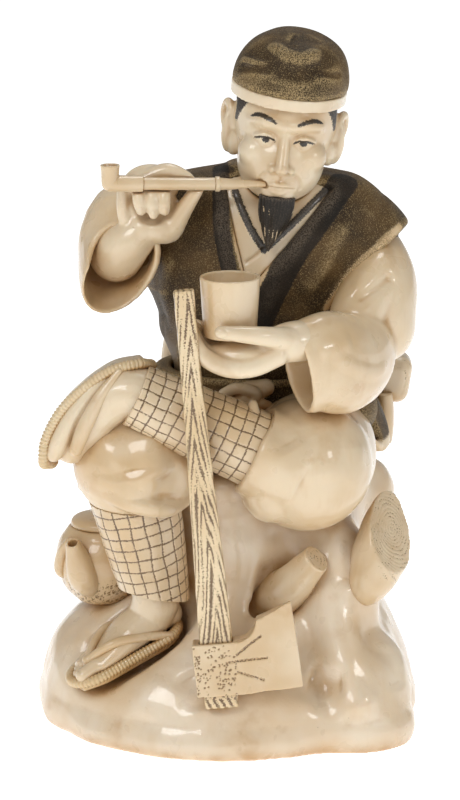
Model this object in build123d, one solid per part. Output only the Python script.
from build123d import *

import math
import os

# Sectional okimono: a seated woodcutter on a stump, pegged together from separately carved pieces.
# Millimetres. +Z is up, the figure faces -Y, +X is the viewer's right. The origin is the middle of
# the mound's flat underside. "right" and "left" in names are the figure's own right and left.

# Mound and stump
BASE_HALF_X = 54.0
BASE_HALF_Y = 50.5
BASE_UNDERCUT = 2.0
BASE_LIP_Z = 4.0
LEDGE_Z = 30.0
STUMP_HALF_X = 33.0
STUMP_HALF_Y = 29.0
STUMP_X = 7.8
STUMP_Y = 5.0
SEAT_Z = 74.0
PLUG_RADIUS = 15.0
PLUG_THICK = 6.0
FRONT_STUB_RADIUS = 6.6
SIDE_STUB_RADIUS = 9.0
STUB_TENON = 8.0
FRONT_STUB_LENGTH = 20.0
SIDE_STUB_LENGTH = 27.0
KNOT_HALVES = (8.5, 9.5, 9.0)
RIDGE_RADIUS = 7.5

# Kettle on the ledge
POT_RADIUS = 13.5
POT_HALF_HEIGHT = 15.5
POT_LID_SHARE = 0.72
POT_FOOT_SHARE = 0.86
POT_LID_RADIUS = 9.0
POT_LID_HEIGHT = 3.6
SPOUT_FOOT_RADIUS = 5.4
SPOUT_TIP_RADIUS = 2.3
SPOUT_BORE_RADIUS = 0.9
LUG_RADIUS = 2.6

# Trunk of the figure
HIPS_HEIGHT = 22.0
HIPS_HALF_X = 33.0
HIPS_HALF_Y = 26.0
WAIST_HALF_X = 27.0
WAIST_HALF_Y = 19.0
TORSO_HEIGHT = 64.0
SHOULDER_HALF_X = 37.0
CHEST_HALF_Y = 21.0
COLLAR_HALF_X = 12.0
COLLAR_HALF_Y = 10.0
SASH_HEIGHT = 8.0
SASH_THICK = 1.5
SASH_KNOT_RADIUS = 3.6
SKIRT_THICK = 3.0
SKIRT_DROP = 20.0
ROBE_RECESS = 1.4
ROBE_DEPTH = 9.0
BUNDLE_LENGTH = 70.0
BUNDLE_HEIGHT = 14.0
BUNDLE_DEPTH = 13.0
CASE_LENGTH = 15.0
CASE_RADIUS = 3.0

# Head, cap and beard
HEAD_HALF_X = 14.5
HEAD_HALF_Y = 16.0
HEAD_HALF_Z = 20.0
HEAD_ROLL = 7.0
HEAD_PITCH = 6.0
NECK_RADIUS = 8.0
EAR_HEIGHT = 12.0
CAP_BAND_HEIGHT = 3.4
CAP_BAND_Z = 9.0
CAP_THICK = 1.6
CAP_CROWN = 14.5
BEARD_LENGTH = 12.0
BEARD_RADIUS = 4.6

# Limbs
SLEEVE_WALL = 1.3
SLEEVE_MOUTH_DEPTH = 10.0
RIGHT_MOUTH_HALF = 14.0
LEFT_MOUTH_HALF = 13.0
WRIST_RADIUS = 6.2
FINGER_RADIUS = 2.0
KNEE_RADIUS = 17.0
THIGH_RADIUS = 15.0
GAITER_KNEE_RADIUS = 12.0
GAITER_ANKLE_RADIUS = 8.8
FOOT_LENGTH = 32.0
FOOT_HALF_WIDTH = 6.0
INSTEP_HEIGHT = 9.0
SANDAL_MARGIN = 1.4
SANDAL_THICK = 2.8
THONG_RADIUS = 1.1

# Cup, pipe and axe, which come off their pegs
CUP_RIM_RADIUS = 8.3
CUP_FOOT_RADIUS = 7.2
CUP_HEIGHT = 16.5
CUP_WALL = 1.0
CUP_FLOOR = 3.2
STEM_RADIUS = 1.75
FERRULE_RADIUS = 2.3
FERRULE_LENGTH = 9.0
MOUTHPIECE_LENGTH = 14.0
PIPE_TIP_RADIUS = 0.8
COLLAR_RADIUS = 2.1
COLLAR_LENGTH = 1.2
BOWL_RADIUS = 2.7
BOWL_HEIGHT = 5.2
BOWL_WALL = 0.7
PIPE_REACH = 43.0
GRIP_REACH = 27.0
HAFT_TOP_HALF = 2.9
HAFT_EYE_HALF = 4.7
HAFT_THICK = 4.2
HAFT_LENGTH = 107.0
HAFT_STUB = 11.5
AXE_EYE_HALF = 6.6
AXE_EYE_THICK = 6.4
AXE_REACH = 23.0
AXE_EDGE_LENGTH = 25.0
AXE_EDGE_THICK = 1.2
AXE_LEAN = 5.0

# Pegs and fits
PEG_RADIUS = 1.2
PEG_GRIP = 3.0
DOWEL_RADIUS = 2.6
DOWEL_DEPTH = 9.0
RUNNING_GAP = 0.05
LIFT_GAP = 0.35

PIPE_BORE_RADIUS = max(FERRULE_RADIUS, COLLAR_RADIUS) + LIFT_GAP

UP = Vector(0, 0, 1)
FRONT = Vector(0, -1, 0)

# Heights and places that the pieces share
WAIST_Z = SEAT_Z + HIPS_HEIGHT
NECK_Z = WAIST_Z + TORSO_HEIGHT
TRUNK_X = STUMP_X + 1.0
TRUNK_Y = STUMP_Y + 3.0
HEAD_CENTRE = Vector(TRUNK_X + 7, TRUNK_Y - 16, NECK_Z + 11)
HEAD_PLACE = Pos(*HEAD_CENTRE) * Rot(HEAD_PITCH, HEAD_ROLL, 0)
NECK_END = Pos(-3, 8, -HEAD_HALF_Z)

HIP_RIGHT = Vector(TRUNK_X - 14, TRUNK_Y - 3, SEAT_Z + 12)
HIP_LEFT = Vector(TRUNK_X + 13, TRUNK_Y - 3, SEAT_Z + 12)
AXE_Y = -(BASE_HALF_Y - 2.5)
SHIN_Y = AXE_Y + HAFT_THICK / 2 + 2 * LIFT_GAP + GAITER_KNEE_RADIUS - 1
KNEE_RIGHT = Vector(TRUNK_X - 35, SHIN_Y + 8, SEAT_Z + 6)
KNEE_LEFT = Vector(TRUNK_X + 14, SHIN_Y + 12, SEAT_Z + 5)
ANKLE_RIGHT = Vector(TRUNK_X - 28, SHIN_Y + 11, LEDGE_Z + 7)
ANKLE_LEFT = Vector(TRUNK_X - 34, SHIN_Y, SEAT_Z + 27)

SHOULDER_RIGHT = Vector(TRUNK_X - 23, TRUNK_Y - 4, NECK_Z - 13)
SHOULDER_LEFT = Vector(TRUNK_X + 30, TRUNK_Y - 5, NECK_Z - 20)
ELBOW_LEFT = Vector(TRUNK_X + 39, TRUNK_Y - 17, WAIST_Z + 16)
CUP_SEAT = Vector(TRUNK_X - 8, AXE_Y + 6.5, WAIST_Z + 23.5)
WRIST_LEFT = CUP_SEAT + Vector(16, 1, -3.5)

PIPE_TIP = (HEAD_PLACE * Pos(-0.25 * HEAD_HALF_X, -0.85 * HEAD_HALF_Y, -0.645 * HEAD_HALF_Z)).position
PIPE_RUN = Vector(-1, -0.13, 0.03).normalized()
GRIP = PIPE_TIP + PIPE_RUN * GRIP_REACH
WRIST_RIGHT = GRIP + Vector(-6, 7, -19)

AXE_EYE = Vector(TRUNK_X - 11.2, AXE_Y, LEDGE_Z - 3)
AXE_PLACE = Pos(*AXE_EYE) * Rot(0, -AXE_LEAN, 0)
POT_CENTRE = Vector(STUMP_X - STUMP_HALF_X - 10.5, STUMP_Y - 9, LEDGE_Z + POT_HALF_HEIGHT + 1)


def ellipsoid(centre, half_x, half_y, half_z):
    """A solid ellipsoid with its axes along X, Y and Z."""
    return Pos(*centre) * scale(Sphere(1), by=(half_x, half_y, half_z))


def limb(stations, wide):
    """Lofts a smooth limb through (centre, half_wide, half_deep) sections, half_wide along wide."""
    points = [Vector(*centre) for centre, _, _ in stations]
    last = len(points) - 1
    sections = []
    for index, (_, half_wide, half_deep) in enumerate(stations):
        along = points[min(index + 1, last)] - points[max(index - 1, 0)]
        frame = Plane(origin=points[index], x_dir=wide, z_dir=along)
        sections.append(frame * Ellipse(half_wide, half_deep))
    return loft(sections)


def stacked(levels):
    """Lofts level ellipses given as (x, y, z, half_x, half_y)."""
    return loft([Pos(x, y, z) * Ellipse(a, b) for x, y, z, a, b in levels])


def rod(start, end, start_radius, end_radius):
    """A tapered rod with rounded ends, turned about the line from start to end."""
    start, end = Vector(*start), Vector(*end)
    length = (end - start).length
    lean = math.asin((start_radius - end_radius) / length)

    def rim(height, radius, angle):
        return Vector(radius * math.cos(angle), height + radius * math.sin(angle))

    heel = rim(0, start_radius, -math.pi / 2)
    low = rim(0, start_radius, lean)
    high = rim(length, end_radius, lean)
    tip = rim(length, end_radius, math.pi / 2)
    outline = [
        ThreePointArc(heel, rim(0, start_radius, (lean - math.pi / 2) / 2), low),
        Line(low, high),
        ThreePointArc(high, rim(length, end_radius, (lean + math.pi / 2) / 2), tip),
        Line(tip, heel),
    ]
    turned = revolve(make_face(outline), Axis.Y)
    return Plane(origin=start, z_dir=end - start) * Rot(90, 0, 0) * turned


def bar(start, end, radius):
    """A plain round peg from start to end."""
    start, end = Vector(*start), Vector(*end)
    frame = Plane(origin=start, z_dir=end - start)
    return frame * Cylinder(radius, (end - start).length, align=(Align.CENTER, Align.CENTER, Align.MIN))


def on_axis(start, direction, near, far, near_radius, far_radius):
    """A straight cone between two distances along a line."""
    frame = Plane(origin=start + direction * near, z_dir=direction)
    upright = (Align.CENTER, Align.CENTER, Align.MIN)
    if near_radius == far_radius:
        return frame * Cylinder(near_radius, far - near, align=upright)
    return frame * Cone(near_radius, far_radius, far - near, align=upright)


def make_mound():
    """The oval mound that rises into the stump, flat underneath."""
    flank_x, flank_y = BASE_HALF_X - 4.5, BASE_HALF_Y - 9.0
    shoulder_x, shoulder_y = (flank_x + STUMP_HALF_X) / 2, (flank_y + STUMP_HALF_Y) / 2
    ground = stacked([
        (0, 0, 0, BASE_HALF_X - BASE_UNDERCUT, BASE_HALF_Y - BASE_UNDERCUT),
        (0, 0, BASE_LIP_Z, BASE_HALF_X, BASE_HALF_Y),
        (0, 0, LEDGE_Z * 0.4, BASE_HALF_X - 0.8, BASE_HALF_Y - 2.5),
        (0, STUMP_Y * 0.1, LEDGE_Z * 0.75, flank_x, flank_y),
        (STUMP_X * 0.4, STUMP_Y * 0.5, LEDGE_Z + 3, shoulder_x, shoulder_y),
        (STUMP_X, STUMP_Y, LEDGE_Z + 16, STUMP_HALF_X, STUMP_HALF_Y),
        (STUMP_X, STUMP_Y, SEAT_Z - 12, STUMP_HALF_X, STUMP_HALF_Y - 1),
        (STUMP_X, STUMP_Y, SEAT_Z, STUMP_HALF_X + 1, STUMP_HALF_Y),
    ])
    knot = ellipsoid(Vector(STUMP_X + STUMP_HALF_X, STUMP_Y + 5, SEAT_Z - 13), *KNOT_HALVES)
    top = Vector(STUMP_X + 17, STUMP_Y - STUMP_HALF_Y + 7, SEAT_Z - 20)
    low = Vector(STUMP_X + 28, STUMP_Y - STUMP_HALF_Y - 13, LEDGE_Z * 0.45)
    return ground + knot + rod(top, low, RIDGE_RADIUS * 0.8, RIDGE_RADIUS)


def make_plug():
    """The disc that closes the hollow of the raw block, flush with the underside."""
    return Cylinder(PLUG_RADIUS, PLUG_THICK, align=(Align.CENTER, Align.CENTER, Align.MIN))


def make_front_stub():
    """The sawn branch on the front of the stump, with its tenon."""
    root = Vector(STUMP_X + 5, STUMP_Y - STUMP_HALF_Y + 1, LEDGE_Z + 8)
    out = Vector(0.60, -0.40, 0.69).normalized()
    neck = FRONT_STUB_RADIUS + 0.8
    return on_axis(root, out, -STUB_TENON, FRONT_STUB_LENGTH, neck, FRONT_STUB_RADIUS)


def make_side_stub():
    """The adzed log end on the stump's left flank: eight flat faces and a slanting saw cut."""
    root = Vector(STUMP_X + STUMP_HALF_X - 4, STUMP_Y - 20, LEDGE_Z + 5)
    out = Vector(0.35, -0.26, 0.90).normalized()
    frame = Plane(origin=root - out * STUB_TENON, x_dir=FRONT, z_dir=out)
    log = extrude(frame * RegularPolygon(SIDE_STUB_RADIUS, 8), STUB_TENON + SIDE_STUB_LENGTH * 1.5)
    cut = Plane(origin=root + out * SIDE_STUB_LENGTH, z_dir=Vector(0.62, -0.62, 0.42))
    return split(log, cut, keep=Keep.BOTTOM)


def make_pot():
    """The kettle's body with the flat ring that its lid sits on."""
    body = ellipsoid(POT_CENTRE, POT_RADIUS, POT_RADIUS, POT_HALF_HEIGHT)
    top = Plane(origin=POT_CENTRE + UP * POT_HALF_HEIGHT * POT_LID_SHARE, z_dir=UP)
    foot = Plane(origin=POT_CENTRE - UP * POT_HALF_HEIGHT * POT_FOOT_SHARE, z_dir=UP)
    return split(split(body, top, keep=Keep.BOTTOM), foot, keep=Keep.TOP)


def make_pot_lid():
    """The low domed lid on the kettle."""
    seat = POT_CENTRE.Z + POT_HALF_HEIGHT * POT_LID_SHARE
    x, y = POT_CENTRE.X, POT_CENTRE.Y
    return stacked([
        (x, y, seat, POT_LID_RADIUS, POT_LID_RADIUS),
        (x, y, seat + POT_LID_HEIGHT * 0.35, POT_LID_RADIUS, POT_LID_RADIUS),
        (x, y, seat + POT_LID_HEIGHT * 0.8, POT_LID_RADIUS * 0.75, POT_LID_RADIUS * 0.75),
        (x, y, seat + POT_LID_HEIGHT, POT_LID_RADIUS * 0.4, POT_LID_RADIUS * 0.4),
    ])


def make_pot_spout():
    """The fat spout on the kettle's front, drilled at its tip."""
    foot = POT_CENTRE + Vector(-1.5, -POT_RADIUS * 0.8, -POT_HALF_HEIGHT * 0.45)
    tip = POT_CENTRE + Vector(-7, -POT_RADIUS * 0.98, POT_HALF_HEIGHT * 0.6)
    run = (tip - foot).normalized()
    spout = rod(foot, tip - run * SPOUT_TIP_RADIUS, SPOUT_FOOT_RADIUS, SPOUT_TIP_RADIUS)
    flat = Plane(origin=tip - run * SPOUT_TIP_RADIUS, z_dir=run)
    bore = on_axis(tip - run * SPOUT_TIP_RADIUS, run, -4, 1, SPOUT_BORE_RADIUS, SPOUT_BORE_RADIUS)
    return split(spout, flat, keep=Keep.BOTTOM) - bore


def make_pot_lug():
    """The lug on the kettle's side that a bail would hook into."""
    out = Vector(-0.88, -0.47, 0.1).normalized()
    root = POT_CENTRE + out * POT_RADIUS * 0.8
    return rod(root, POT_CENTRE + out * (POT_RADIUS + LUG_RADIUS * 0.4), LUG_RADIUS, LUG_RADIUS * 0.8)


def make_hips():
    """The seat of the trousers, flat on the stump and at the waist joint."""
    return stacked([
        (TRUNK_X - 1, TRUNK_Y + 2, SEAT_Z, HIPS_HALF_X, HIPS_HALF_Y),
        (TRUNK_X - 1, TRUNK_Y + 2, SEAT_Z + HIPS_HEIGHT * 0.3, HIPS_HALF_X + 1, HIPS_HALF_Y + 1),
        (TRUNK_X - 0.5, TRUNK_Y + 1, SEAT_Z + HIPS_HEIGHT * 0.68, HIPS_HALF_X - 3, HIPS_HALF_Y - 3),
        (TRUNK_X, TRUNK_Y, WAIST_Z, WAIST_HALF_X, WAIST_HALF_Y),
    ])


def make_trunk(inset):
    """The body of the jacket from waist to neck, drawn in by inset all round."""
    sections = [
        (0, 0, 0, WAIST_HALF_X, WAIST_HALF_Y),
        (0.125, 0.5, -1, WAIST_HALF_X + 1, WAIST_HALF_Y + 1),
        (0.31, 1, -3, SHOULDER_HALF_X - 5, CHEST_HALF_Y),
        (0.53, 2, -5, SHOULDER_HALF_X - 2, CHEST_HALF_Y),
        (0.69, 2.5, -6, SHOULDER_HALF_X, CHEST_HALF_Y - 1),
        (0.80, 2, -6.5, SHOULDER_HALF_X - 2, CHEST_HALF_Y - 3),
        (0.89, 1.5, -7, SHOULDER_HALF_X - 6, CHEST_HALF_Y - 6),
        (0.955, 1, -7.5, COLLAR_HALF_X + 9, COLLAR_HALF_Y + 2),
        (1, 3, -8, COLLAR_HALF_X, COLLAR_HALF_Y),
    ]
    return stacked([
        (TRUNK_X + right, TRUNK_Y + back, WAIST_Z + TORSO_HEIGHT * share, half_x - inset, half_y - inset)
        for share, right, back, half_x, half_y in sections
    ])


def make_neck_opening():
    """The wedge of space between the jacket's two front edges."""
    back = TRUNK_Y - CHEST_HALF_Y - 5 + ROBE_DEPTH
    corners = [
        (TRUNK_X - 11, NECK_Z + 1),
        (TRUNK_X + 27, NECK_Z + 1),
        (TRUNK_X - 3, NECK_Z - TORSO_HEIGHT * 0.52),
    ]
    wall = Plane(origin=(0, back, 0), x_dir=(1, 0, 0), z_dir=FRONT)
    return extrude(wall * make_face(Polyline(*corners, close=True)), ROBE_DEPTH + CHEST_HALF_Y)


def make_sash():
    """The band of cloth round the waist joint."""
    outer_x, outer_y = WAIST_HALF_X + 1 + SASH_THICK, WAIST_HALF_Y + 1 + SASH_THICK
    low, high = WAIST_Z - SASH_HEIGHT / 2, WAIST_Z + SASH_HEIGHT / 2
    return stacked([
        (TRUNK_X, TRUNK_Y, low, outer_x + 1, outer_y + 1),
        (TRUNK_X, TRUNK_Y - 0.2, WAIST_Z, outer_x, outer_y),
        (TRUNK_X, TRUNK_Y - 0.5, high, outer_x, outer_y),
    ])


def make_sash_knot():
    """The loop and tail of the sash's knot at the front."""
    middle = Vector(TRUNK_X - 4, TRUNK_Y - WAIST_HALF_Y - SASH_THICK - 2.5, WAIST_Z + 0.5)
    loop = rod(middle, middle + Vector(6, -0.5, 2), SASH_KNOT_RADIUS, SASH_KNOT_RADIUS * 0.7)
    tail = rod(middle, middle + Vector(-6, -1, -4), SASH_KNOT_RADIUS * 0.8, SASH_KNOT_RADIUS * 0.6)
    return loop + tail


def make_jacket_skirt():
    """The jacket's tails, which hang over the hips at the sides and back."""
    flare = SKIRT_THICK + 2.5
    hip_x, hip_y = HIPS_HALF_X + SKIRT_THICK, HIPS_HALF_Y + SKIRT_THICK
    tails = stacked([
        (TRUNK_X, TRUNK_Y + 3, WAIST_Z - SKIRT_DROP, HIPS_HALF_X + flare, HIPS_HALF_Y + flare),
        (TRUNK_X, TRUNK_Y + 2, WAIST_Z - SKIRT_DROP * 0.55, hip_x, hip_y),
        (TRUNK_X, TRUNK_Y, WAIST_Z, WAIST_HALF_X + SKIRT_THICK, WAIST_HALF_Y + SKIRT_THICK),
    ])
    open_front = Plane(origin=(TRUNK_X, TRUNK_Y - WAIST_HALF_Y * 0.45, WAIST_Z), z_dir=FRONT)
    return split(tails, open_front, keep=Keep.BOTTOM)


def make_bundle():
    """The wrapped bundle carried across the small of the back."""
    middle = Vector(TRUNK_X + 7, TRUNK_Y + WAIST_HALF_Y + BUNDLE_DEPTH * 0.35, WAIST_Z - 1)
    block = Box(BUNDLE_LENGTH, BUNDLE_DEPTH, BUNDLE_HEIGHT)
    soft = fillet(block.edges(), min(BUNDLE_DEPTH, BUNDLE_HEIGHT) * 0.28)
    return Pos(*middle) * Rot(0, 9, 0) * soft


def make_case():
    """The case that hangs under the bundle at the left hip."""
    top = Vector(TRUNK_X + 37, TRUNK_Y + 17, WAIST_Z - 9)
    return limb(
        [
            (top, CASE_RADIUS * 1.2, CASE_RADIUS * 0.8),
            (top - UP * CASE_LENGTH * 0.5, CASE_RADIUS * 1.35, CASE_RADIUS),
            (top - UP * CASE_LENGTH, CASE_RADIUS * 1.2, CASE_RADIUS * 0.8),
        ],
        FRONT,
    )


def make_head():
    """Skull, jaw, ears, nose and neck in one piece, with a tenon's length of neck."""
    skull = ellipsoid((0, 1, 3), HEAD_HALF_X, HEAD_HALF_Y, HEAD_HALF_Z - 3)
    jaw_seat = (0, -0.28 * HEAD_HALF_Y, -0.4 * HEAD_HALF_Z)
    jaw = ellipsoid(jaw_seat, HEAD_HALF_X * 0.84, HEAD_HALF_Y * 0.7, HEAD_HALF_Z * 0.62)
    ears = [
        ellipsoid((side * (HEAD_HALF_X + 0.6), 2, -1), 2.2, 3.6, EAR_HEIGHT / 2)
        for side in (-1, 1)
    ]
    brow, nose_tip = -HEAD_HALF_Y * 0.86, -HEAD_HALF_Y * 1.0
    nose = rod((0, brow, 0), (0, nose_tip, -HEAD_HALF_Z * 0.42), 1.4, 2.3)
    neck = rod((-1, 3, -0.4 * HEAD_HALF_Z), NECK_END.position, NECK_RADIUS, NECK_RADIUS)
    return HEAD_PLACE * (skull + jaw + ears + nose + neck)


def make_cap_band():
    """The pale band round the cap's rim."""
    half_x, half_y = HEAD_HALF_X + CAP_THICK, HEAD_HALF_Y + CAP_THICK
    return HEAD_PLACE * stacked([
        (0, 1, CAP_BAND_Z, half_x, half_y),
        (0, 1, CAP_BAND_Z + CAP_BAND_HEIGHT, half_x, half_y),
    ])


def make_cap():
    """The soft cap above its band, with a low slumped crown."""
    foot = CAP_BAND_Z + CAP_BAND_HEIGHT
    half_x, half_y = HEAD_HALF_X + CAP_THICK, HEAD_HALF_Y + CAP_THICK
    return HEAD_PLACE * stacked([
        (0, 1, foot, half_x, half_y),
        (0.5, 1.5, foot + CAP_CROWN * 0.45, half_x - 1.0, half_y - 0.8),
        (0.8, 2, foot + CAP_CROWN * 0.75, half_x - 4.0, half_y - 3.6),
        (1, 2.5, foot + CAP_CROWN * 0.94, half_x - 9.0, half_y - 8.5),
        (1, 2.5, foot + CAP_CROWN, half_x - 13.5, half_y - 13.5),
    ])


def make_beard():
    """The inserted chin tuft."""
    root = Vector(0, -HEAD_HALF_Y * 0.88, -0.9 * HEAD_HALF_Z)
    tip = root + Vector(-0.6, -1.5, -BEARD_LENGTH)
    return HEAD_PLACE * rod(root, tip, BEARD_RADIUS, BEARD_RADIUS * 0.2)


def right_sleeve_run():
    """Centres down the raised right sleeve, from the shoulder to the mouth."""
    mouth = WRIST_RIGHT + Vector(-7, -2, -2.5)
    bend = mouth + Vector(-1.5, 10, 3)
    return [SHOULDER_RIGHT, SHOULDER_RIGHT + Vector(-11, -5, -4), bend, mouth]


def sleeve_hollow(inside, mouth, half_wide, half_deep, wide):
    """The space in a sleeve's mouth, which narrows towards the arm."""
    out = (mouth - inside).normalized()
    deep = mouth - out * SLEEVE_MOUTH_DEPTH
    past = mouth + out * SLEEVE_WALL
    narrowing = 3 * SLEEVE_WALL
    return limb(
        [
            (deep, half_wide - narrowing, half_deep - narrowing),
            (past, half_wide - SLEEVE_WALL, half_deep - SLEEVE_WALL),
        ],
        wide,
    )


def make_right_sleeve():
    """The raised sleeve, hollow at its drooping mouth."""
    shoulder, upper, bend, mouth = right_sleeve_run()
    tall = RIGHT_MOUTH_HALF
    outer = limb([(shoulder, 11, 10), (upper, 13, 10.5), (bend, tall + 0.5, 10.5), (mouth, tall, 9)], UP)
    return outer - sleeve_hollow(bend, mouth, tall, 9, UP)


def make_left_sleeve():
    """The lowered sleeve: shoulder to elbow, then forward to its mouth at the wrist."""
    mouth = WRIST_LEFT + Vector(3, 1, -3)
    fore = (ELBOW_LEFT + mouth) * 0.5 + Vector(2, -2, -2)
    bend_axis = (ELBOW_LEFT - SHOULDER_LEFT).cross(mouth - ELBOW_LEFT)
    tall = LEFT_MOUTH_HALF
    outer = limb(
        [
            (SHOULDER_LEFT, 13, 12),
            ((SHOULDER_LEFT + ELBOW_LEFT) * 0.5 + Vector(3.5, 2, 2), 12, 12.5),
            (ELBOW_LEFT + Vector(0, -2, 0), 11, 13),
            (fore, 9.5, tall),
            (mouth, 8, tall),
        ],
        bend_axis,
    )
    return outer - sleeve_hollow(fore, mouth, 8, tall, bend_axis)


def make_right_hand():
    """The hand that holds the pipe, with the forearm that goes up the sleeve."""
    palm = ellipsoid(GRIP + Vector(-2.5, 4.5, -11), 8.5, 5.0, 8.0)
    elbow = right_sleeve_run()[2] + Vector(1.5, -1, -1)
    forearm = rod(WRIST_RIGHT + Vector(1, 0, 1), elbow, WRIST_RADIUS, WRIST_RADIUS + 1)
    fingers = [
        rod(
            GRIP + Vector(-8.5 + 4.1 * index, 3.4, -1.5),
            GRIP + Vector(-7.5 + 3.6 * index, -0.6, -9.0),
            FINGER_RADIUS,
            FINGER_RADIUS * 0.85,
        )
        for index in range(3)
    ]
    knuckle = FINGER_RADIUS + 0.4
    index_finger = rod(GRIP + Vector(-9, 4.5, -1), GRIP + Vector(5, 3.4, 2.2), knuckle, FINGER_RADIUS)
    thumb = rod(GRIP + Vector(4, 4, -11), GRIP + Vector(9, 2.6, -2.5), knuckle, FINGER_RADIUS)
    bore = on_axis(PIPE_TIP, PIPE_RUN, 0, PIPE_REACH + 2 * BOWL_RADIUS, PIPE_BORE_RADIUS, PIPE_BORE_RADIUS)
    return palm + forearm + fingers + index_finger + thumb - bore


def make_left_hand():
    """The open hand that carries the cup, with its forearm."""
    palm = ellipsoid(CUP_SEAT + Vector(4, 0, -3.5), 10, 8.2, 4.6)
    foremost = AXE_Y + HAFT_THICK / 2 + 2 * LIFT_GAP + FINGER_RADIUS
    reach = CUP_FOOT_RADIUS + FINGER_RADIUS
    fingers = [
        rod(
            Vector(CUP_SEAT.X - 1, foremost - 1 + 3.7 * index, CUP_SEAT.Z - 3.6),
            Vector(CUP_SEAT.X - reach, foremost + 3.0 * index, CUP_SEAT.Z + 1.6),
            FINGER_RADIUS + 0.3,
            FINGER_RADIUS * 0.8,
        )
        for index in range(4)
    ]
    thumb = rod(
        CUP_SEAT + Vector(11, -7, -0.5),
        CUP_SEAT + Vector(-2, -CUP_RIM_RADIUS - FINGER_RADIUS - LIFT_GAP, 2.2),
        FINGER_RADIUS + 0.6,
        FINGER_RADIUS,
    )
    forearm = rod(WRIST_LEFT, WRIST_LEFT + Vector(13, 8, -1), WRIST_RADIUS, WRIST_RADIUS + 0.6)
    room = CUP_RIM_RADIUS + LIFT_GAP
    return palm + fingers + thumb + forearm - on_axis(CUP_SEAT, UP, 0, 2 * CUP_HEIGHT, room, room)


def make_right_trouser():
    """The right thigh and the cloth that billows over the knee."""
    thigh = (HIP_RIGHT + KNEE_RIGHT) * 0.5
    along = (KNEE_RIGHT - HIP_RIGHT).normalized()
    return limb(
        [
            (HIP_RIGHT, THIGH_RADIUS, THIGH_RADIUS - 2),
            (thigh, THIGH_RADIUS + 0.5, THIGH_RADIUS),
            (KNEE_RIGHT, KNEE_RADIUS, KNEE_RADIUS),
            (KNEE_RIGHT + along * KNEE_RADIUS * 0.62, KNEE_RADIUS * 0.76, KNEE_RADIUS * 0.76),
            (KNEE_RIGHT + along * KNEE_RADIUS * 0.85, KNEE_RADIUS * 0.4, KNEE_RADIUS * 0.4),
        ],
        Vector(along.Y, -along.X, 0),
    )


def make_left_trouser():
    """The left thigh and the large bag of cloth round the crossed knee."""
    thigh = (HIP_LEFT + KNEE_LEFT) * 0.5
    along = (KNEE_LEFT - HIP_LEFT).normalized()
    bag = KNEE_RADIUS + 1.5
    return limb(
        [
            (HIP_LEFT, THIGH_RADIUS, THIGH_RADIUS - 2),
            (thigh + Vector(2, 0, -1), THIGH_RADIUS + 2, THIGH_RADIUS + 1),
            (KNEE_LEFT, bag, bag),
            (KNEE_LEFT + along * bag * 0.6 + Vector(-1, 0, 0), bag * 0.78, bag * 0.78),
            (KNEE_LEFT + along * bag * 0.84 + Vector(-1.5, 0, 0), bag * 0.42, bag * 0.42),
        ],
        Vector(-along.Y, along.X, 0),
    )


def make_right_gaiter():
    """The netted gaiter on the standing shin."""
    top = Vector(KNEE_RIGHT.X, KNEE_RIGHT.Y, KNEE_RIGHT.Z - KNEE_RADIUS * 0.5)
    return limb(
        [
            (top, GAITER_KNEE_RADIUS + 0.8, GAITER_KNEE_RADIUS),
            ((top + ANKLE_RIGHT) * 0.5, GAITER_KNEE_RADIUS - 0.8, GAITER_KNEE_RADIUS - 1.2),
            (ANKLE_RIGHT, GAITER_ANKLE_RADIUS, GAITER_ANKLE_RADIUS),
        ],
        Vector(1, 0, 0),
    )


def make_left_gaiter():
    """The netted gaiter on the crossed shin, which lies over the right knee."""
    top = Vector(KNEE_LEFT.X - 12, SHIN_Y + 1, KNEE_LEFT.Z + 5)
    return limb(
        [
            (top, GAITER_KNEE_RADIUS - 1, GAITER_KNEE_RADIUS - 1),
            ((top + ANKLE_LEFT) * 0.5, GAITER_KNEE_RADIUS - 1.8, GAITER_KNEE_RADIUS - 1.8),
            (ANKLE_LEFT, GAITER_ANKLE_RADIUS, GAITER_ANKLE_RADIUS),
        ],
        FRONT,
    )


def right_sole():
    """Plane of the right sandal's upper face: x towards the toes, z out of the foot's top."""
    heel = ANKLE_RIGHT + Vector(5, 4, -GAITER_ANKLE_RADIUS)
    run = Vector(-0.845, -0.36, -0.395).normalized()
    side = run.cross(UP).normalized()
    return Plane(origin=heel, x_dir=run, z_dir=side.cross(run))


def left_sole():
    """Plane of the left sandal's upper face, turned up by the crossed leg."""
    run = Vector(-0.64, 0.03, -0.77).normalized()
    out = Vector(0.77, -0.12, -0.64).normalized()
    heel = ANKLE_LEFT + Vector(-1, 2, 6.5)
    return Plane(origin=heel, x_dir=run, z_dir=out)


def make_foot(sole, shin_end):
    """A bare foot standing on its sole plane, with an ankle that runs up into the gaiter."""
    half = FOOT_HALF_WIDTH
    stations = [
        ((-2.5, 0, INSTEP_HEIGHT * 0.35), half * 0.45, INSTEP_HEIGHT * 0.35),
        ((1, 0, INSTEP_HEIGHT * 0.45), half * 0.85, INSTEP_HEIGHT * 0.5),
        ((FOOT_LENGTH * 0.3, 0, INSTEP_HEIGHT * 0.4), half, INSTEP_HEIGHT * 0.55),
        ((FOOT_LENGTH * 0.62, 0, INSTEP_HEIGHT * 0.2), half * 1.1, INSTEP_HEIGHT * 0.35),
        ((FOOT_LENGTH * 0.86, 0, INSTEP_HEIGHT * 0.1), half * 0.95, INSTEP_HEIGHT * 0.24),
        ((FOOT_LENGTH * 0.93, 0, INSTEP_HEIGHT * 0.08), half * 0.6, INSTEP_HEIGHT * 0.15),
    ]
    shape = sole * limb(stations, Vector(0, 1, 0))
    return split(shape + make_ankle(sole, shin_end, 0), sole, keep=Keep.TOP)


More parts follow.
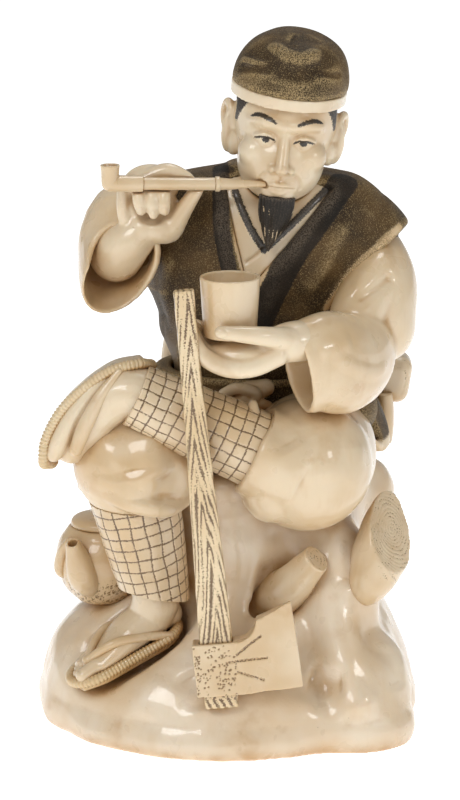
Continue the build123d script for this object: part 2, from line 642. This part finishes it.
def make_ankle(sole, shin_end, gap):
    """The ankle from the foot up into the gaiter, made larger by gap."""
    low = sole.from_local_coords(Vector(FOOT_LENGTH * 0.14, 0, INSTEP_HEIGHT * 0.75))
    return rod(low, shin_end, FOOT_HALF_WIDTH * 0.95 + gap, GAITER_ANKLE_RADIUS - 2 + gap)


def sandal_outline():
    """The sandal's outline on its sole plane."""
    width = 2 * (FOOT_HALF_WIDTH * 1.1 + SANDAL_MARGIN)
    return Pos(FOOT_LENGTH * 0.44, 0, 0) * SlotOverall(FOOT_LENGTH + 2 * SANDAL_MARGIN, width)


def make_sandal(sole):
    """The straw sole under a foot, a rounded slab."""
    return extrude(sole * sandal_outline(), -SANDAL_THICK)


def make_foot_room():
    """The pocket in the mound that the right foot and its sandal stand in."""
    ground = right_sole().offset(-SANDAL_THICK)
    return extrude(ground * sandal_outline(), SANDAL_THICK + 4 * INSTEP_HEIGHT)


def make_foot_slope():
    """The hollow that opens the mound in front of the right foot, so that its sandal's edge stands free."""
    depth = 1.5 * FOOT_HALF_WIDTH
    centre = Vector(FOOT_LENGTH * 0.55, FOOT_HALF_WIDTH * 0.7, depth - 1)
    return right_sole() * ellipsoid(centre, FOOT_LENGTH * 0.85, FOOT_HALF_WIDTH * 2.1, depth)


def make_thong(sole):
    """The two straps that run from between the toes to the sides of the heel."""
    toe = Vector(FOOT_LENGTH * 0.74, 0, INSTEP_HEIGHT * 0.5)
    edge = FOOT_HALF_WIDTH + SANDAL_MARGIN - THONG_RADIUS * 0.5
    straps = []
    for side in (-1, 1):
        mid = Vector(FOOT_LENGTH * 0.5, side * (FOOT_HALF_WIDTH - 0.4), INSTEP_HEIGHT * 0.72)
        foot = Vector(FOOT_LENGTH * 0.38, side * edge, THONG_RADIUS * 0.5)
        straps += [rod(toe, mid, THONG_RADIUS, THONG_RADIUS), rod(mid, foot, THONG_RADIUS, THONG_RADIUS)]
    post = rod(toe, Vector(FOOT_LENGTH * 0.9, 0, THONG_RADIUS * 0.5), THONG_RADIUS, THONG_RADIUS)
    return sole * (post + straps)


def make_cup():
    """The tea cup: thin wall, thick floor with a blind hole for its peg."""
    outside = on_axis(CUP_SEAT, UP, 0, CUP_HEIGHT, CUP_FOOT_RADIUS, CUP_RIM_RADIUS)
    flare = (CUP_RIM_RADIUS - CUP_FOOT_RADIUS) * CUP_FLOOR / CUP_HEIGHT
    floor_radius = CUP_FOOT_RADIUS + flare - CUP_WALL
    hollow = on_axis(CUP_SEAT, UP, CUP_FLOOR, CUP_HEIGHT, floor_radius, CUP_RIM_RADIUS - CUP_WALL)
    hole_radius = PEG_RADIUS + RUNNING_GAP
    hole = on_axis(CUP_SEAT, UP, 0, CUP_FLOOR * 0.7, hole_radius, hole_radius)
    return outside - hollow - hole


def make_cup_peg():
    """The peg in the palm that keeps the cup from sliding."""
    return bar(CUP_SEAT - UP * PEG_GRIP, CUP_SEAT + UP * CUP_FLOOR * 0.6, PEG_RADIUS)


def make_pipe_mouthpiece():
    """The tapered mouthpiece with its collar."""
    shoulder = MOUTHPIECE_LENGTH - COLLAR_LENGTH
    collar = on_axis(PIPE_TIP, PIPE_RUN, shoulder, MOUTHPIECE_LENGTH, COLLAR_RADIUS, COLLAR_RADIUS)
    return collar + on_axis(PIPE_TIP, PIPE_RUN, 0, shoulder, PIPE_TIP_RADIUS, STEM_RADIUS)


def make_lip_room():
    """The space that the mouthpiece needs between the lips."""
    near, far = PIPE_TIP_RADIUS + LIFT_GAP, STEM_RADIUS + LIFT_GAP
    return on_axis(PIPE_TIP, PIPE_RUN, -LIFT_GAP, MOUTHPIECE_LENGTH, near, far)


def make_pipe_stem():
    """The plain stem between mouthpiece and bowl."""
    far = PIPE_REACH - FERRULE_LENGTH
    return on_axis(PIPE_TIP, PIPE_RUN, MOUTHPIECE_LENGTH, far, STEM_RADIUS, STEM_RADIUS)


def make_pipe_bowl():
    """The elbow and the small open bowl."""
    elbow_point = PIPE_TIP + PIPE_RUN * PIPE_REACH
    near = PIPE_REACH - FERRULE_LENGTH
    socket = on_axis(PIPE_TIP, PIPE_RUN, near, PIPE_REACH, FERRULE_RADIUS, FERRULE_RADIUS)
    elbow = Pos(*elbow_point) * Sphere(FERRULE_RADIUS)
    cup_wall = on_axis(elbow_point, UP, 0, BOWL_HEIGHT, FERRULE_RADIUS, BOWL_RADIUS)
    narrow, wide = BOWL_RADIUS - 2 * BOWL_WALL, BOWL_RADIUS - BOWL_WALL
    return socket + elbow + cup_wall - on_axis(elbow_point, UP, BOWL_HEIGHT * 0.4, BOWL_HEIGHT, narrow, wide)


def make_haft():
    """The axe haft: flat-sided, widening towards the eye, with its end proud of the head."""
    sections = [
        (-HAFT_STUB, HAFT_EYE_HALF, HAFT_THICK),
        (0, HAFT_EYE_HALF, HAFT_THICK),
        (HAFT_LENGTH * 0.5, (HAFT_TOP_HALF + HAFT_EYE_HALF) / 2 - 0.3, HAFT_THICK),
        (HAFT_LENGTH, HAFT_TOP_HALF, HAFT_THICK * 0.9),
    ]
    corner = HAFT_THICK * 0.22
    return AXE_PLACE * loft([
        Pos(0, 0, height) * RectangleRounded(2 * half, thick, corner)
        for height, half, thick in sections
    ])


def make_axe_head():
    """The bearded axe head, thick at the eye and thin at the long cutting edge."""
    eye, edge = AXE_EYE_HALF, AXE_EDGE_LENGTH
    heel, toe = -eye - 1.0, edge - eye - 1.0
    outline = [
        Line((-eye, -eye - 1.0), (AXE_REACH, heel)),
        Line((AXE_REACH, heel), (AXE_REACH - 1.5, toe)),
        Line((AXE_REACH - 1.5, toe), (eye + 5, eye + 6.5)),
        ThreePointArc((eye + 5, eye + 6.5), (eye + 3.2, eye + 2.6), (eye, eye + 1.0)),
        Line((eye, eye + 1.0), (-eye, eye + 1.0)),
        Line((-eye, eye + 1.0), (-eye, -eye - 1.0)),
    ]
    blank = Plane.XZ.offset(-AXE_EYE_THICK / 2) * make_face(outline)
    plate = extrude(blank, AXE_EYE_THICK)
    half, thin = AXE_EYE_THICK / 2, AXE_EDGE_THICK / 2
    cheek = [(-eye, half), (eye, half), (AXE_REACH, thin)]
    taper = cheek + [(x, -y) for x, y in reversed(cheek)]
    wedge = extrude(Pos(0, 0, -2 * edge) * make_face(Polyline(*taper, close=True)), 4 * edge)
    return AXE_PLACE * (plate & wedge)


def make_axe_peg(gap):
    """The peg that the axe hangs on: deep in the mound, blind in the axe head, made larger by gap."""
    place = AXE_EYE + Vector(AXE_EYE_HALF + 2, 0, -4.5)
    root = place - FRONT * (3 * PEG_GRIP + AXE_EYE_THICK / 2)
    return bar(root, place + FRONT * gap, PEG_RADIUS + gap)


def dowel(joint, run, depth=DOWEL_DEPTH, radius=DOWEL_RADIUS):
    """A dowel that reaches the same depth into the pieces on both sides of a joint."""
    run = run.normalized()
    return bar(joint - run * depth, joint + run * depth, radius)


def make_neck_dowel():
    """The dowel under the neck."""
    foot = (HEAD_PLACE * NECK_END).position
    return dowel(foot - UP * NECK_RADIUS, UP)


def make_waist_dowels():
    """The two dowels across the waist joint."""
    return [dowel(Vector(TRUNK_X + side * WAIST_HALF_X * 0.4, TRUNK_Y, WAIST_Z), UP) for side in (-1, 1)]


def make_seat_dowels():
    """The two dowels that hold the figure on the stump."""
    return [dowel(Vector(TRUNK_X + side * HIPS_HALF_X * 0.42, TRUNK_Y + 4, SEAT_Z), UP) for side in (-1, 1)]


def make_shoulder_dowels():
    """The dowel in each shoulder, slanting down into its sleeve."""
    right = dowel(SHOULDER_RIGHT + Vector(-9, -1, 0), Vector(-1, -0.2, -0.1))
    left = dowel(SHOULDER_LEFT + Vector(6, -1, -6), Vector(0.6, -0.25, -0.75))
    return [right, left]


def make_thigh_dowels():
    """The dowel between the seat of the trousers and each thigh."""
    right = dowel(HIP_RIGHT + (KNEE_RIGHT - HIP_RIGHT) * 0.42, KNEE_RIGHT - HIP_RIGHT)
    left = dowel(HIP_LEFT + (KNEE_LEFT - HIP_LEFT) * 0.5, KNEE_LEFT - HIP_LEFT)
    return [right, left]


def make_kettle_peg():
    """The peg under the kettle."""
    return dowel(POT_CENTRE - UP * POT_HALF_HEIGHT * POT_FOOT_SHARE, UP, PEG_GRIP + 1, PEG_RADIUS)


def largest(shape):
    """The main solid of a cut piece, without the slivers that a cut leaves beyond its neighbour."""
    return max(shape.solids(), key=lambda solid: solid.volume)


def cut(shape, *others):
    """The shape carved back to meet each of the others face to face."""
    for other in others:
        shape = shape - other
    return largest(shape)


def carve_head():
    """Head, cap, band and beard."""
    head = largest(make_head() - make_lip_room())
    return {
        "head": head,
        "cap_band": cut(make_cap_band(), head),
        "cap": cut(make_cap(), head),
        "beard": cut(make_beard(), head, make_trunk(0)),
    }


def carve_trunk(head):
    """Torso, robe, hips, sash and what hangs from the waist, apart from the legs."""
    hips, opening = make_hips(), make_neck_opening()
    trunk = make_trunk(0)
    sash = cut(make_sash(), hips, trunk)
    return {
        "torso": cut(trunk, opening, head),
        "under_robe": cut(make_trunk(ROBE_RECESS) & opening, head),
        "hips": hips,
        "sash": sash,
    }


def carve_legs(hips, trunk, sash):
    """Trousers, gaiters, feet and sandals, each cut back from the one above it."""
    right_trouser = cut(make_right_trouser(), hips, trunk, sash)
    left_trouser = cut(make_left_trouser(), hips, trunk, sash, right_trouser)
    right_gaiter = cut(make_right_gaiter(), right_trouser)
    left_gaiter = cut(make_left_gaiter(), left_trouser, right_trouser)
    right_sandal = make_sandal(right_sole())
    left_sandal = cut(make_sandal(left_sole()), left_gaiter, right_trouser)
    bare_right, bare_left = make_foot(right_sole(), ANKLE_RIGHT), make_foot(left_sole(), ANKLE_LEFT)
    return {
        "right_trouser": right_trouser,
        "left_trouser": left_trouser,
        "right_gaiter": right_gaiter,
        "left_gaiter": left_gaiter,
        "right_foot": cut(bare_right, right_gaiter),
        "left_foot": cut(bare_left, left_gaiter, right_trouser),
        "right_sandal": right_sandal,
        "left_sandal": left_sandal,
        "right_thong": cut(make_thong(right_sole()), bare_right, right_sandal, right_gaiter),
        "left_thong": cut(make_thong(left_sole()), bare_left, left_sandal, left_gaiter, right_trouser),
    }


def carve_arms(trunk, legs):
    """Sleeves, and the hands whose forearms are let into them."""
    right_hand, left_hand = largest(make_right_hand()), largest(make_left_hand())
    return {
        "right_hand": right_hand,
        "left_hand": left_hand,
        "right_sleeve": cut(make_right_sleeve(), trunk, right_hand),
        "left_sleeve": cut(make_left_sleeve(), trunk, left_hand, legs["left_trouser"]),
    }


def carve_waist(pieces, trunk):
    """Jacket tails, sash knot, bundle and case."""
    legs = [pieces["right_trouser"], pieces["left_trouser"]]
    tails = cut(make_jacket_skirt(), pieces["hips"], pieces["sash"], *legs)
    bundle = cut(make_bundle(), trunk, pieces["hips"], pieces["sash"], tails)
    return {
        "jacket_tails": tails,
        "back_bundle": bundle,
        "waist_case": cut(make_case(), tails, bundle, pieces["hips"]),
        "sash_knot": cut(make_sash_knot(), trunk, pieces["hips"], pieces["sash"], *legs),
    }


def carve_base(legs):
    """Mound with the pieces let into it, and the kettle."""
    kettle = make_pot()
    front_stub, side_stub = make_front_stub(), make_side_stub()
    plug = make_plug()
    spout = cut(make_pot_spout(), kettle)
    lug = cut(make_pot_lug(), kettle)
    stump = cut(make_mound(), plug, front_stub, side_stub, kettle)
    standing = [make_foot_room(), make_foot_slope(), make_right_gaiter()]
    standing.append(make_ankle(right_sole(), ANKLE_RIGHT, LIFT_GAP))
    return {
        "stump_base": cut(stump, *standing, make_right_trouser(), make_left_trouser()),
        "base_plug": plug,
        "front_branch_stub": cut(front_stub, legs["left_trouser"]),
        "side_branch_stub": cut(side_stub, legs["left_trouser"]),
        "kettle": kettle,
        "kettle_lid": make_pot_lid(),
        "kettle_spout": spout,
        "kettle_lug": lug,
    }


def make_loose_pieces():
    """The cup, the pipe and the axe, which come off."""
    haft = make_haft()
    return {
        "cup": make_cup(),
        "pipe_mouthpiece": make_pipe_mouthpiece(),
        "pipe_stem": make_pipe_stem(),
        "pipe_bowl": make_pipe_bowl(),
        "axe_haft": haft,
        "axe_head": cut(make_axe_head(), haft, make_axe_peg(RUNNING_GAP)),
    }


def set_dowels(pieces):
    """Adds every dowel and drills it into the pieces that it pins."""
    pins = {
        "neck_dowel": ([make_neck_dowel()], ["head", "torso"]),
        "waist_dowels": (make_waist_dowels(), ["hips", "torso"]),
        "seat_dowels": (make_seat_dowels(), ["stump_base", "hips"]),
        "shoulder_dowels": (make_shoulder_dowels(), ["torso", "right_sleeve", "left_sleeve"]),
        "thigh_dowels": (make_thigh_dowels(), ["hips", "right_trouser", "left_trouser"]),
        "kettle_peg": ([make_kettle_peg()], ["stump_base", "kettle"]),
        "cup_peg": ([make_cup_peg()], ["left_hand"]),
        "axe_peg": ([make_axe_peg(0)], ["stump_base"]),
    }
    for name, (solids, pinned) in pins.items():
        for node in pinned:
            pieces[node] = cut(pieces[node], *solids)
        pieces[name] = Compound(children=[Part() + solid for solid in solids])


def build_pieces():
    """Every piece by node name, carved to meet its neighbours."""
    trunk = make_trunk(0)
    pieces = carve_head()
    pieces |= carve_trunk(pieces["head"])
    legs = carve_legs(pieces["hips"], trunk, pieces["sash"])
    pieces |= legs
    pieces |= carve_arms(trunk, legs)
    pieces |= carve_waist(pieces, trunk)
    pieces |= carve_base(legs)
    pieces |= make_loose_pieces()
    set_dowels(pieces)
    return pieces


def main():
    """Writes every piece to its own file."""
    os.makedirs("parts", exist_ok=True)
    for name, shape in build_pieces().items():
        export_step(shape, f"parts/{name}.step")


if __name__ == "__main__":
    main()
